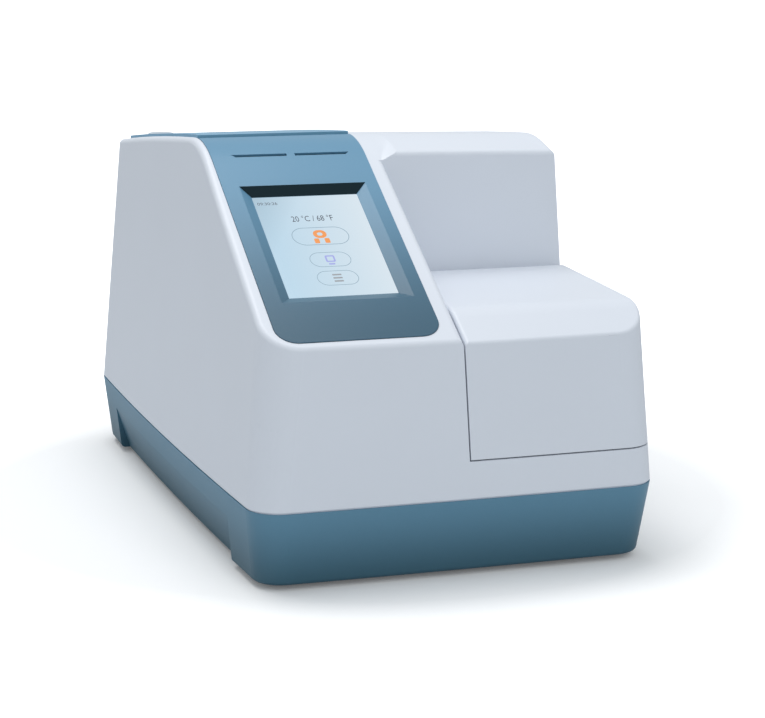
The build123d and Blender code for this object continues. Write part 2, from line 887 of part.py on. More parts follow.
def chamber_liner():
    """Dark liner on the deck with a rim and the front bearings of the drive."""
    plate_top = deck_top + liner_plate
    liner = chamber_zone(0, deck_top, plate_top + liner_rim_height)
    liner -= chamber_zone(liner_rim, plate_top, plate_top + liner_rim_height + 1)
    open_rear = block_of(-width, block_front - liner_rim - 1, plate_top, width * 2, depth, depth)
    liner -= open_rear
    for offset in (-rod_spread, 0, rod_spread):
        half = bearing_height / 2
        base = block_of(axis_x + offset - half, bearing_y, deck_top, 2 * half, bearing_length, drive_height - deck_top)
        ring = round_bar(
            half, (axis_x + offset, bearing_y, drive_height), (axis_x + offset, bearing_y + bearing_length, drive_height)
        )
        liner += base + ring
    bores = drive_holes(
        guide_radius + bore_clearance,
        screw_radius + bore_clearance,
        bearing_y + liner_plate,
        bearing_y + bearing_length + 1,
    )
    return liner - bores


def guide_rods():
    """Two ground rods from the front bearings to the drive bracket."""
    rods = Part()
    for side in (-1, 1):
        x = axis_x + side * rod_spread
        start = (x, bearing_y + liner_plate + running_gap, drive_height)
        end = (x, drive_end, drive_height)
        rod = round_bar(guide_radius, start, end)
        rods += chamfer(rod.edges().filter_by(GeomType.CIRCLE), 0.4)
    return rods


def lead_screw():
    """Lead screw from its front bearing into the motor, with a driving flat."""
    start = (axis_x, bearing_y + liner_plate + running_gap, drive_height)
    end = (axis_x, drive_end + shaft_depth, drive_height)
    screw = round_bar(screw_radius, start, end)
    screw = chamfer(screw.edges().filter_by(GeomType.CIRCLE), 0.5)
    flat = block_of(
        axis_x - screw_radius,
        drive_end + 1,
        drive_height + screw_radius * 0.6,
        2 * screw_radius,
        shaft_depth,
        screw_radius,
    )
    return screw - flat


def cartridge_carriage():
    """Sliding carriage with the cartridge pocket, carried by both rods."""
    x = axis_x - carriage_width / 2
    y = carriage_rest_y - carriage_length / 2
    body = block_of(x, y, carriage_low, carriage_width, carriage_length, carriage_height)
    body = fillet(body.edges().filter_by(Axis.Z), 3.0)
    body = chamfer(body.edges().group_by(Axis.Z)[-1], 0.8)
    top = carriage_low + carriage_height
    pocket = block_of(
        axis_x - pocket_width / 2,
        carriage_rest_y - pocket_length / 2,
        pocket_floor,
        pocket_width,
        pocket_length,
        carriage_height,
    )
    body -= fillet(pocket.edges().filter_by(Axis.Z), 2.0)
    notch = round_bar(
        pocket_length * 0.3, (axis_x, y - 1, top), (axis_x, carriage_rest_y, top)
    )
    body -= notch
    reader_slot = block_of(x - 1, carriage_rest_y - 8, pocket_floor + 3, carriage_width / 4, 16, 9)
    body -= reader_slot
    for side in (-1, 1):
        inner = axis_x + side * (rod_spread - bush_radius) / 2
        relief = Pos(inner, carriage_rest_y, carriage_low) * Box(
            rod_spread - 2 * bush_radius - 6, carriage_length * 2, 2 * (drive_height - carriage_low)
        )
        body -= relief
    body -= drive_holes(guide_radius + 1.0, nut_radius, y - 1, y + carriage_length + 1)
    for end in (y - 1, y + carriage_length - bush_length):
        for side in (-1, 1):
            centre = axis_x + side * rod_spread
            body -= round_bar(bush_radius, (centre, end, drive_height), (centre, end + bush_length + 1, drive_height))
    return body


def slide_bushes():
    """Four bronze bushes pressed into the ends of the carriage."""
    bushes = Part()
    y = carriage_rest_y - carriage_length / 2
    for start in (y, y + carriage_length - bush_length):
        for side in (-1, 1):
            x = axis_x + side * rod_spread
            bush = round_bar(bush_radius, (x, start, drive_height), (x, start + bush_length, drive_height))
            bore = round_bar(
                guide_radius + bore_clearance, (x, start - 1, drive_height), (x, start + bush_length + 1, drive_height)
            )
            bushes += bush - bore
    return bushes


def drive_nut():
    """Brass nut in the carriage that runs on the lead screw."""
    start = carriage_rest_y - nut_length / 2
    nut = round_bar(nut_radius, (axis_x, start, drive_height), (axis_x, start + nut_length, drive_height))
    bore = round_bar(
        screw_radius + bore_clearance, (axis_x, start - 1, drive_height), (axis_x, start + nut_length + 1, drive_height)
    )
    return nut - bore


def chassis_span():
    """Lowest corner and lengths of the chassis plate."""
    x = tower_face_x + chassis_side
    length_x = width / 2 - chassis_side - x
    y = block_front + chassis_side
    length_y = rear_y - chassis_end - y
    return x, y, length_x, length_y


def chassis_plate():
    """Steel plate under the rear block that carries the drive and the optics."""
    x, y, length_x, length_y = chassis_span()
    plate = block_of(x, y, chassis_level, length_x, length_y, sheet)
    plate = fillet(plate.edges().filter_by(Axis.Z), 5.0)
    opening = block_of(x + length_x / 4, rear_y - chassis_end - 50, chassis_level - 1, length_x / 2, 36, sheet + 2)
    return plate - fillet(opening.edges().filter_by(Axis.Z), 4.0)


def chassis_posts():
    """Four posts that stand on the tray floor and hold the chassis plate."""
    x, y, length_x, length_y = chassis_span()
    posts = Part()
    for post_x in (x + post_inset, x + length_x - post_inset):
        for post_y in (y + post_inset, y + length_y - post_inset):
            posts += round_bar(post_radius, (post_x, post_y, floor_top), (post_x, post_y, chassis_level))
    return posts


def drive_bracket():
    """Folded steel bracket that holds the rods, the screw and the motor."""
    x = axis_x - bracket_width_x / 2
    face_y = drive_end - bracket_sheet
    upright = block_of(x, face_y, chassis_top, bracket_width_x, bracket_sheet, bracket_height)
    upright = chamfer(upright.edges().filter_by(Axis.Y).group_by(Axis.Z)[-1], 6.0)
    foot = block_of(x, face_y - bracket_foot, chassis_top, bracket_width_x, bracket_foot + bracket_sheet, bracket_sheet)
    bracket = upright + foot
    bores = drive_holes(guide_radius + bore_clearance, screw_radius + 1.0, face_y - 1, drive_end + 1)
    return bracket - bores


def stepper_motor():
    """Square stepper motor behind the drive bracket."""
    case = Pos(axis_x, drive_end, drive_height) * Box(
        motor_size, motor_length, motor_size, align=(Align.CENTER, Align.MIN, Align.CENTER)
    )
    case = chamfer(case.edges().filter_by(Axis.Y), motor_corner)
    waist = Pos(axis_x, drive_end + motor_length * 0.25, drive_height) * Box(
        motor_size * 2, motor_length / 2, motor_size * 2, align=(Align.CENTER, Align.MIN, Align.CENTER)
    )
    core = Pos(axis_x, drive_end, drive_height) * Box(
        motor_size - 1.6, motor_length, motor_size - 1.6, align=(Align.CENTER, Align.MIN, Align.CENTER)
    )
    case -= waist - core
    bore = round_bar(
        screw_radius + bore_clearance,
        (axis_x, drive_end - 1, drive_height),
        (axis_x, drive_end + shaft_depth + 1, drive_height),
    )
    return case - bore


def heater_block():
    """Aluminium block that warms the cartridge at its measuring place."""
    high = carriage_low - heater_gap
    block = block_of(
        axis_x - heater_width / 2,
        carriage_stop_y - heater_length / 2,
        chassis_top,
        heater_width,
        heater_length,
        high - chassis_top,
    )
    slots = Part()
    for step in (-1, 0, 1):
        slots += Pos(axis_x + step * heater_width / 4, carriage_stop_y, chassis_top) * Box(4.0, heater_length * 2, 10.0)
    return block - slots


def optics_bridge():
    """Folded bracket over the carriage that holds the camera."""
    x = axis_x - bridge_width / 2
    y = lens_y - bridge_length / 2
    outer = block_of(x, y, chassis_top, bridge_width, bridge_length, bridge_height)
    inner = block_of(
        x + sheet, y - 1, chassis_top - 1, bridge_width - 2 * sheet, bridge_length + 2, bridge_height + 1 - sheet
    )
    bridge = outer - inner
    for foot_x_low in (x - bridge_foot, x + bridge_width):
        bridge += block_of(foot_x_low, y, chassis_top, bridge_foot, bridge_length, sheet)
    hole = Pos(axis_x, lens_y, bridge_top) * Cylinder(barrel_radius + running_gap, sheet * 4)
    return bridge - hole


def camera_module():
    """Camera with its lens barrel, on the bridge and looking down."""
    case = block_of(
        axis_x - camera_size / 2, lens_y - camera_size / 2, bridge_top, camera_size, camera_size, camera_height
    )
    case = fillet(case.edges().filter_by(Axis.Z), 2.0)
    low = bridge_top - barrel_length
    barrel = round_bar(barrel_radius, (axis_x, lens_y, low), (axis_x, lens_y, bridge_top))
    glass = round_bar(barrel_radius - 2, (axis_x, lens_y, low - 1), (axis_x, lens_y, low + 1.5))
    return case + barrel - glass


def led_ring():
    """Ring board of lamps round the lens, under the bridge."""
    high = bridge_top - sheet
    low = high - led_thickness
    ring = round_bar(led_outer, (axis_x, lens_y, low), (axis_x, lens_y, high))
    ring -= round_bar(barrel_radius + running_gap, (axis_x, lens_y, low - 1), (axis_x, lens_y, high + 1))
    for lamp in PolarLocations(led_outer - 2.8, 8):
        seat = Pos(axis_x, lens_y, low) * lamp
        ring += seat * Box(2.4, 2.4, 1.6)
    return ring


def barcode_reader():
    """Small reader beside the cartridge, on the chamber liner."""
    x = axis_x - carriage_width / 2 - reader_gap - reader_width
    low = deck_top + liner_plate
    reader = block_of(x, carriage_rest_y - reader_length / 2, low, reader_width, reader_length, reader_height)
    reader = chamfer(reader.edges().group_by(Axis.Z)[-1], 1.5)
    window = block_of(
        x + reader_width - 1.2, carriage_rest_y - reader_length / 3, low + 8, 3, reader_length * 2 / 3, 5
    )
    return reader - window


def board_span():
    """Left, right, front and rear of the main board."""
    left = -width / 2 + board_side
    right = tower_face_x - board_gap
    return left, right, front_y + board_front_inset, rear_y - board_rear_inset


def board_holes():
    """Places of the main board's fixings."""
    left, right, front, rear = board_span()
    middle = (front + rear) / 2
    rows = (front + standoff_inset, middle, rear - lug_inset_y - standoff_inset)
    return [(x, y) for x in (left + standoff_inset, right - standoff_inset) for y in rows]


def main_board():
    """Main circuit board in the tray, cut out round the rear screw column."""
    left, right, front, rear = board_span()
    board = block_of(left, front, board_level, right - left, rear - front, board_thickness)
    board = fillet(board.edges().filter_by(Axis.Z), 2.0)
    board -= Pos(-lug_x, lug_y, board_level) * Cylinder(column_radius + 2.0, 10)
    return board


def board_standoffs():
    """Six standoffs between the tray floor and the main board."""
    standoffs = Part()
    for x, y in board_holes():
        standoffs += round_bar(standoff_radius, (x, y, floor_top), (x, y, board_level))
    return standoffs


def board_modules():
    """Shield, processor, memory and supply modules on the main board."""
    left, right, front, rear = board_span()
    length_x = right - left
    places = [
        (left + length_x * 0.20, front + 30, 30, 34, module_height),
        (left + length_x * 0.66, front + 40, 24, 24, module_height + 3),
        (left + length_x * 0.30, front + 92, 34, 20, module_height),
        (left + length_x * 0.74, front + 96, 18, 40, module_height + 5),
        (left + length_x * 0.22, front + 150, 20, 20, module_height + 7),
    ]
    modules = Part()
    for x, y, length, breadth, height in places:
        seat = (Align.CENTER, Align.CENTER, Align.MIN)
        modules += Pos(x, y, board_top) * Box(length, breadth, height, align=seat)
    return modules


def port_centres():
    """X of the two USB sockets' stack, the network socket and the supply inlet."""
    usb = port_left + port_width - port_margin - usb_width / 2
    lan = usb - usb_width / 2 - port_spacing - lan_width / 2
    inlet = lan - lan_width / 2 - port_spacing - inlet_width / 2
    return usb, lan, inlet


def port_case(centre, case_width, case_height):
    """Socket housing on the board that ends flush with the connector plate."""
    y = port_plane + port_plate - port_length
    return block_of(centre - case_width / 2, y, board_top, case_width, port_length, case_height)


def port_hollow(centre, hollow_width, low, hollow_height):
    """Room inside a socket, open to the back."""
    y = port_plane + port_plate - port_depth
    return block_of(centre - hollow_width / 2, y, low, hollow_width, port_depth + 1, hollow_height)


def usb_ports():
    """Two stacked USB sockets."""
    centre = port_centres()[0]
    cell = (usb_height - 3 * port_wall) / 2
    case = port_case(centre, usb_width, usb_height)
    for row in (0, 1):
        low = board_top + port_wall + row * (cell + port_wall)
        case -= port_hollow(centre, usb_width - 2 * port_wall, low, cell)
    return case


def network_port():
    """Network socket."""
    centre = port_centres()[1]
    case = port_case(centre, lan_width, lan_height)
    return case - port_hollow(centre, lan_width - 2 * port_wall, board_top + port_wall, lan_height - 2 * port_wall)


def dc_inlet():
    """Round supply inlet with its centre pin."""
    centre = port_centres()[2]
    case = port_case(centre, inlet_width, inlet_height)
    height = board_top + inlet_height / 2
    end_y = port_plane + port_plate
    bore = round_bar(inlet_width * 0.34, (centre, end_y - port_depth, height), (centre, end_y + 1, height))
    pin = round_bar(1.0, (centre, end_y - port_depth - 1, height), (centre, end_y - 1.5, height))
    return case - bore + pin


def rear_port_plate():
    """Dark connector plate let into the tray's rear wall."""
    gap = port_fit
    plate = block_of(
        port_left + gap, port_plane, port_low + gap, port_width - 2 * gap, port_plate, port_height - 2 * gap
    )
    usb, lan, inlet = port_centres()
    sockets = ((usb, usb_width, usb_height), (lan, lan_width, lan_height), (inlet, inlet_width, inlet_height))
    for centre, case_width, case_height in sockets:
        plate -= block_of(
            centre - case_width / 2 - gap,
            port_plane - 1,
            board_top - gap,
            case_width + 2 * gap,
            port_plate + 2,
            case_height + 2 * gap,
        )
    return plate


def speaker():
    """Speaker on the tray floor in front of the main board."""
    x = -width / 2 + board_side + speaker_radius + 36
    y = front_y + board_front_inset - speaker_radius - 6
    basket = round_bar(speaker_radius, (x, y, floor_top), (x, y, floor_top + speaker_height / 2))
    magnet = round_bar(speaker_radius * 0.6, (x, y, floor_top), (x, y, floor_top + speaker_height))
    return basket + magnet


os.makedirs("parts", exist_ok=True)
left_station, right_station = hinge_stations()
nodes = {
    "upper_housing": upper_housing(),
    "display_bezel": display_bezel(),
    "touch_glass": touch_glass(),
    "display_panel": display_panel(),
    "status_light_guide": status_light_guide(),
    "crest_gasket": crest_gasket(),
    "top_cover": top_cover(),
    "power_button": power_button(),
    "button_switch": button_switch(),
    "lid_shell": lid_shell(),
    "hinge_bracket_left": hinge_bracket(left_station),
    "hinge_bracket_right": hinge_bracket(right_station),
    "hinge_rod": hinge_rod(),
    "chamber_liner": chamber_liner(),
    "barcode_reader": barcode_reader(),
    "guide_rods": guide_rods(),
    "lead_screw": lead_screw(),
    "cartridge_carriage": cartridge_carriage(),
    "slide_bushes": slide_bushes(),
    "drive_nut": drive_nut(),
    "chassis_plate": chassis_plate(),
    "chassis_posts": chassis_posts(),
    "drive_bracket": drive_bracket(),
    "stepper_motor": stepper_motor(),
    "heater_block": heater_block(),
    "optics_bridge": optics_bridge(),
    "camera_module": camera_module(),
    "led_ring": led_ring(),
    "main_board": main_board(),
    "board_standoffs": board_standoffs(),
    "board_modules": board_modules(),
    "usb_ports": usb_ports(),
    "network_port": network_port(),
    "dc_inlet": dc_inlet(),
    "speaker": speaker(),
    "base_tray": base_tray(),
    "rubber_feet": rubber_feet(),
    "base_screws": base_screws(),
    "rear_port_plate": rear_port_plate(),
}
for name, solid in nodes.items():
    export_step(solid, f"parts/{name}.step")
    print(name, len(solid.solids()), round(solid.volume), solid.is_valid)
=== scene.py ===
import math

import bmesh
import bpy
from mathutils import Matrix, Vector


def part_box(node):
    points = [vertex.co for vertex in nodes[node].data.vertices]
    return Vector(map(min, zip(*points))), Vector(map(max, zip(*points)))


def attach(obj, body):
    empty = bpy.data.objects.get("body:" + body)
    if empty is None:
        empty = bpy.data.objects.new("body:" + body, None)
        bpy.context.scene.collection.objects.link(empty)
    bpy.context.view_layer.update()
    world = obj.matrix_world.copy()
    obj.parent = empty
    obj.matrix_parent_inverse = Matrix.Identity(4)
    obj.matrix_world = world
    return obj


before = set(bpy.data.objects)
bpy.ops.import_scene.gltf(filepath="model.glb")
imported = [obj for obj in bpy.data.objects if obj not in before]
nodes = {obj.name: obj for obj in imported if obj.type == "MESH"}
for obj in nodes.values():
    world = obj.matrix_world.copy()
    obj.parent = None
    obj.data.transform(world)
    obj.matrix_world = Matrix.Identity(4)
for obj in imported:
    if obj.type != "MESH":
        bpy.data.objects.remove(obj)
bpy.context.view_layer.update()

MM = 0.001

# Camera: the photograph's place and angles, in metres and radians
CAMERA_AT = Vector((-0.356, -1.0882, 0.3026))
YAW = 0.3301
PITCH = 0.2003
ROLL = 0.0069
LENS = 107.27


def place_camera():
    """Camera that looks along the yaw and pitch, rolled a little."""
    forward = Vector((math.sin(YAW) * math.cos(PITCH), math.cos(YAW) * math.cos(PITCH), -math.sin(PITCH)))
    level = Vector((math.cos(YAW), -math.sin(YAW), 0))
    upright = level.cross(forward)
    right = level * math.cos(ROLL) + upright * math.sin(ROLL)
    up = -level * math.sin(ROLL) + upright * math.cos(ROLL)
    data = bpy.data.cameras.new("camera")
    data.lens = LENS
    data.clip_start = 0.02
    data.clip_end = 40
    camera = link_object("camera", data)
    turn = Matrix((right, up, -forward)).transposed().to_4x4()
    camera.matrix_world = Matrix.Translation(CAMERA_AT) @ turn
    bpy.context.scene.camera = camera


def link_object(name, data):
    """New object in the scene for some data."""
    thing = bpy.data.objects.new(name, data)
    bpy.context.scene.collection.objects.link(thing)
    return thing


# Shared surface groups


def new_group(name, inputs, outputs):
    """Node group with named inputs and outputs; gives the tree and its ends."""
    group = bpy.data.node_groups.new(name, "ShaderNodeTree")
    for socket, kind, value in inputs:
        made = group.interface.new_socket(name=socket, in_out="INPUT", socket_type="NodeSocket" + kind)
        made.default_value = value
    for socket, kind in outputs:
        group.interface.new_socket(name=socket, in_out="OUTPUT", socket_type="NodeSocket" + kind)
    return group, group.nodes.new("NodeGroupInput"), group.nodes.new("NodeGroupOutput")


def maths(tree, kind, first, second, third=None):
    """Maths node fed by sockets or plain numbers."""
    node = tree.nodes.new("ShaderNodeMath")
    node.operation = kind
    for slot, value in enumerate((first, second, third)):
        if value is None:
            continue
        if isinstance(value, (int, float)):
            node.inputs[slot].default_value = value
        else:
            tree.links.new(value, node.inputs[slot])
    return node.outputs[0]


def noise(tree, place, scale, detail):
    """Noise texture at a place; scale is a socket or a number."""
    node = tree.nodes.new("ShaderNodeTexNoise")
    node.inputs["Detail"].default_value = detail
    tree.links.new(place, node.inputs["Vector"])
    if isinstance(scale, (int, float)):
        node.inputs["Scale"].default_value = scale
    else:
        tree.links.new(scale, node.inputs["Scale"])
    return node.outputs["Fac"]


def stretched(tree, place, scale):
    """Coordinates stretched by three factors."""
    node = tree.nodes.new("ShaderNodeMapping")
    node.inputs["Scale"].default_value = scale
    tree.links.new(place, node.inputs["Vector"])
    return node.outputs["Vector"]


def tinted(tree, color, factor):
    """Colour multiplied by a number."""
    node = tree.nodes.new("ShaderNodeVectorMath")
    node.operation = "SCALE"
    tree.links.new(color, node.inputs[0])
    tree.links.new(factor, node.inputs["Scale"])
    return node.outputs[0]


def bumped(tree, height, strength, distance):
    """Bump normal from a height, with its strength from a socket."""
    node = tree.nodes.new("ShaderNodeBump")
    node.inputs["Distance"].default_value = distance
    tree.links.new(height, node.inputs["Height"])
    tree.links.new(strength, node.inputs["Strength"])
    return node.outputs[0]


SURFACE_OUT = (("Color", "Color"), ("Roughness", "Float"), ("Normal", "Vector"))


def moulded_group():
    """Moulded plastic: two colours from low to high, drift and a fine spark-eroded grain."""
    group, inside, outside = new_group(
        "moulded_surface",
        (
            ("Low Color", "Color", (0.8, 0.8, 0.8, 1)),
            ("High Color", "Color", (0.8, 0.8, 0.8, 1)),
            ("Low Height", "Float", 0.0),
            ("High Height", "Float", 0.19),
            ("Drift", "Float", 0.03),
            ("Roughness", "Float", 0.4),
            ("Grain Size", "Float", 2600.0),
            ("Grain Depth", "Float", 0.05),
        ),
        SURFACE_OUT,
    )
    place = group.nodes.new("ShaderNodeTexCoord").outputs["Object"]
    split = group.nodes.new("ShaderNodeSeparateXYZ")
    group.links.new(place, split.inputs[0])
    rise = group.nodes.new("ShaderNodeMapRange")
    rise.interpolation_type = "SMOOTHSTEP"
    group.links.new(split.outputs["Z"], rise.inputs["Value"])
    group.links.new(inside.outputs["Low Height"], rise.inputs["From Min"])
    group.links.new(inside.outputs["High Height"], rise.inputs["From Max"])
    blend = group.nodes.new("ShaderNodeMix")
    blend.data_type = "RGBA"
    group.links.new(rise.outputs[0], blend.inputs["Factor"])
    group.links.new(inside.outputs["Low Color"], blend.inputs["A"])
    group.links.new(inside.outputs["High Color"], blend.inputs["B"])
    cloud = maths(group, "SUBTRACT", noise(group, place, 22.0, 3.0), 0.5)
    swing = maths(group, "MULTIPLY_ADD", cloud, inside.outputs["Drift"], 1.0)
    group.links.new(tinted(group, blend.outputs["Result"], swing), outside.inputs["Color"])
    rough = maths(group, "MULTIPLY_ADD", cloud, 0.06, inside.outputs["Roughness"])
    group.links.new(rough, outside.inputs["Roughness"])
    grain = noise(group, place, inside.outputs["Grain Size"], 2.0)
    group.links.new(bumped(group, grain, inside.outputs["Grain Depth"], 0.1 * MM), outside.inputs["Normal"])
    return group


def brushed_group():
    """Metal with fine streaks along one axis and a soft cloud of tarnish."""
    group, inside, outside = new_group(
        "brushed_surface",
        (
            ("Color", "Color", (0.6, 0.6, 0.6, 1)),
            ("Roughness", "Float", 0.3),
            ("Streak Depth", "Float", 0.2),
        ),
        SURFACE_OUT,
    )
    place = group.nodes.new("ShaderNodeTexCoord").outputs["Object"]
    streak = noise(group, stretched(group, place, (2400, 60, 2400)), 1.0, 2.0)
    cloud = maths(group, "SUBTRACT", noise(group, place, 90.0, 3.0), 0.5)
    swing = maths(group, "MULTIPLY_ADD", cloud, 0.25, 1.0)
    group.links.new(tinted(group, inside.outputs["Color"], swing), outside.inputs["Color"])
    rough = maths(group, "MULTIPLY_ADD", streak, 0.18, inside.outputs["Roughness"])
    group.links.new(rough, outside.inputs["Roughness"])
    relief = bumped(group, streak, inside.outputs["Streak Depth"], 0.05 * MM)
    group.links.new(relief, outside.inputs["Normal"])
    return group


def board_group():
    """Circuit board: solder resist with lighter tracks on a fine grid."""
    group, inside, outside = new_group(
        "board_surface",
        (
            ("Resist", "Color", (0.01, 0.07, 0.03, 1)),
            ("Track", "Color", (0.03, 0.16, 0.07, 1)),
            ("Relief", "Float", 0.3),
        ),
        SURFACE_OUT,
    )
    place = group.nodes.new("ShaderNodeTexCoord").outputs["Object"]
    cells = group.nodes.new("ShaderNodeTexBrick")
    cells.inputs["Scale"].default_value = 110.0
    cells.inputs["Mortar Size"].default_value = 0.06
    cells.inputs["Brick Width"].default_value = 1.4
    cells.inputs["Row Height"].default_value = 0.22
    group.links.new(place, cells.inputs["Vector"])
    group.links.new(inside.outputs["Resist"], cells.inputs["Color1"])
    group.links.new(inside.outputs["Resist"], cells.inputs["Color2"])
    group.links.new(inside.outputs["Track"], cells.inputs["Mortar"])
    group.links.new(cells.outputs["Color"], outside.inputs["Color"])
    rough = maths(group, "MULTIPLY_ADD", cells.outputs["Fac"], -0.15, 0.45)
    group.links.new(rough, outside.inputs["Roughness"])
    relief = bumped(group, cells.outputs["Fac"], inside.outputs["Relief"], 0.05 * MM)
    group.links.new(relief, outside.inputs["Normal"])
    return group


MOULDED = moulded_group()
BRUSHED = brushed_group()
BOARD = board_group()


def new_material(name):
    """Empty node material with a Principled shader; gives all three."""
    material = bpy.data.materials.new(name)
    material.use_nodes = True
    tree = material.node_tree
    tree.nodes.clear()
    out = tree.nodes.new("ShaderNodeOutputMaterial")
    shader = tree.nodes.new("ShaderNodeBsdfPrincipled")
    tree.links.new(shader.outputs["BSDF"], out.inputs["Surface"])
    return material, tree, shader


def surfaced(name, group, values, metallic=0.0, specular=0.5):
    """Material whose colour, roughness and normal come from a surface group."""
    material, tree, shader = new_material(name)
    surface = tree.nodes.new("ShaderNodeGroup")
    surface.node_tree = group
    for socket, value in values.items():
        surface.inputs[socket].default_value = value
    tree.links.new(surface.outputs["Color"], shader.inputs["Base Color"])
    tree.links.new(surface.outputs["Roughness"], shader.inputs["Roughness"])
    tree.links.new(surface.outputs["Normal"], shader.inputs["Normal"])
    shader.inputs["Metallic"].default_value = metallic
    shader.inputs["Specular IOR Level"].default_value = specular
    return material


def moulded(name, low, roughness, high=None, heights=(0.0, 0.19), grain=(2600.0, 0.05), specular=0.5):
    """Moulded plastic in one colour, or in two from a low to a high place."""
    values = {
        "Low Color": (*low, 1),
        "High Color": (*(high or low), 1),
        "Low Height": heights[0],
        "High Height": heights[1],
        "Roughness": roughness,
        "Grain Size": grain[0],
        "Grain Depth": grain[1],
    }
    return surfaced(name, MOULDED, values, specular=specular)


def metal(name, color, roughness, streak=0.2):
    """Brushed or ground metal."""
    values = {"Color": (*color, 1), "Roughness": roughness, "Streak Depth": streak}
    return surfaced(name, BRUSHED, values, metallic=1.0)


def threaded_steel():
    """Ground steel with the fine thread of the lead screw as a bump."""
    material = metal("threaded_steel", (0.52, 0.53, 0.54), 0.24, 0.05)
    tree = material.node_tree
    shader = next(node for node in tree.nodes if node.type == "BSDF_PRINCIPLED")
    wave = tree.nodes.new("ShaderNodeTexWave")
    wave.bands_direction = "Y"
    wave.inputs["Scale"].default_value = 160.0
    place = tree.nodes.new("ShaderNodeTexCoord")
    tree.links.new(place.outputs["Object"], wave.inputs["Vector"])
    bump = tree.nodes.new("ShaderNodeBump")
    bump.inputs["Strength"].default_value = 0.9
    bump.inputs["Distance"].default_value = 0.4 * MM
    tree.links.new(wave.outputs["Fac"], bump.inputs["Height"])
    tree.links.new(bump.outputs[0], shader.inputs["Normal"])
    return material


def lit_glass(left, width, low, height):
    """Cover glass of the lit display, paler to the right and greyer at the top left."""
    material, tree, shader = new_material("lit_display_glass")
    place = tree.nodes.new("ShaderNodeTexCoord")
    split = tree.nodes.new("ShaderNodeSeparateXYZ")
    tree.links.new(place.outputs["Object"], split.inputs[0])
    across = maths(tree, "MULTIPLY", maths(tree, "SUBTRACT", split.outputs["X"], left), 1.0 / width)
    up = maths(tree, "MULTIPLY", maths(tree, "SUBTRACT", split.outputs["Z"], low), 1.0 / height)
    sides = tree.nodes.new("ShaderNodeValToRGB")
    sides.color_ramp.elements[0].position = 0.1
    sides.color_ramp.elements[0].color = (0.54, 0.745, 0.895, 1)
    sides.color_ramp.elements[1].position = 0.95
    sides.color_ramp.elements[1].color = (0.765, 0.875, 0.955, 1)
    tree.links.new(across, sides.inputs["Fac"])
    corner = maths(tree, "SUBTRACT", up, maths(tree, "MULTIPLY", across, 1.3))
    shade = tree.nodes.new("ShaderNodeMapRange")
    shade.inputs["From Min"].default_value = 0.35
    shade.inputs["From Max"].default_value = 1.0
    shade.inputs["To Min"].default_value = 1.0
    shade.inputs["To Max"].default_value = 0.76
    tree.links.new(corner, shade.inputs["Value"])
    raster = tree.nodes.new("ShaderNodeTexWave")
    raster.inputs["Scale"].default_value = 1800.0
    tree.links.new(place.outputs["Object"], raster.inputs["Vector"])
    fine = maths(tree, "MULTIPLY_ADD", raster.outputs["Fac"], 0.02, 0.98)
    glow = tinted(tree, sides.outputs["Color"], maths(tree, "MULTIPLY", shade.outputs[0], fine))
    tree.links.new(glow, shader.inputs["Emission Color"])
    shader.inputs["Emission Strength"].default_value = 0.86
    shader.inputs["Base Color"].default_value = (0.012, 0.014, 0.016, 1)
    shader.inputs["Roughness"].default_value = 0.12
    return material


def display_ink(name, color):
    """Lit marks on the display: their light drifts a little, as pixels do."""
    material, tree, shader = new_material(name)
    place = tree.nodes.new("ShaderNodeTexCoord")
    fine = maths(tree, "MULTIPLY_ADD", noise(tree, place.outputs["Object"], 3000.0, 1.0), 0.12, 0.94)
    plain = tree.nodes.new("ShaderNodeRGB")
    plain.outputs[0].default_value = (*color, 1)
    tree.links.new(tinted(tree, plain.outputs[0], fine), shader.inputs["Emission Color"])
    shader.inputs["Emission Strength"].default_value = 1.0
    shader.inputs["Base Color"].default_value = (0.01, 0.01, 0.01, 1)
    shader.inputs["Roughness"].default_value = 0.2
    return material


def dress(material, *names):
    """Gives CAD nodes one material."""
    for name in names:
        data = nodes[name].data
        data.materials.clear()
        data.materials.append(material)


WHITE_COLOR = (0.720, 0.755, 0.820)
# Bezel blue runs from darker low to lighter high on its slope: painted shade at the bottom and a painted
# sheen at the top.
BLUE_PAINTED_SHADE_LOW = (0.024, 0.092, 0.148)
BLUE_PAINTED_SHEEN_HIGH = (0.120, 0.285, 0.430)
COVER_COLOR = (0.160, 0.375, 0.550)
# Base blue is darker towards the bottom: painted shade.
BASE_PAINTED_SHADE_LOW = (0.034, 0.105, 0.150)
BASE_HIGH = (0.105, 0.250, 0.360)

glass_low, glass_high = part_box("touch_glass")
slope_low, slope_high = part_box("display_bezel")
tray_low, tray_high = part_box("base_tray")

WHITE = moulded("cool_white_plastic", WHITE_COLOR, 0.42)
# Bezel: the low-to-high colour blend is painted shade and painted sheen.
BLUE = moulded("slate_blue_painted_shading", BLUE_PAINTED_SHADE_LOW, 0.36, BLUE_PAINTED_SHEEN_HIGH, (slope_low[2], slope_high[2] - 10 * MM))
COVER_BLUE = moulded("cover_blue_plastic", COVER_COLOR, 0.36)
# Base tray: the darker low colour is painted shade.
BASE = moulded("base_blue_painted_shading", BASE_PAINTED_SHADE_LOW, 0.42, BASE_HIGH, (tray_low[2] - 4 * MM, tray_high[2]))
BLACK = moulded("black_plastic", (0.02, 0.022, 0.025), 0.45)
LINER = moulded("liner_plastic", (0.035, 0.04, 0.045), 0.55, grain=(1800.0, 0.12))
CARRIAGE = moulded("carriage_plastic", (0.06, 0.066, 0.075), 0.4)
SMOKED = moulded("smoked_window", (0.004, 0.02, 0.026), 0.28)
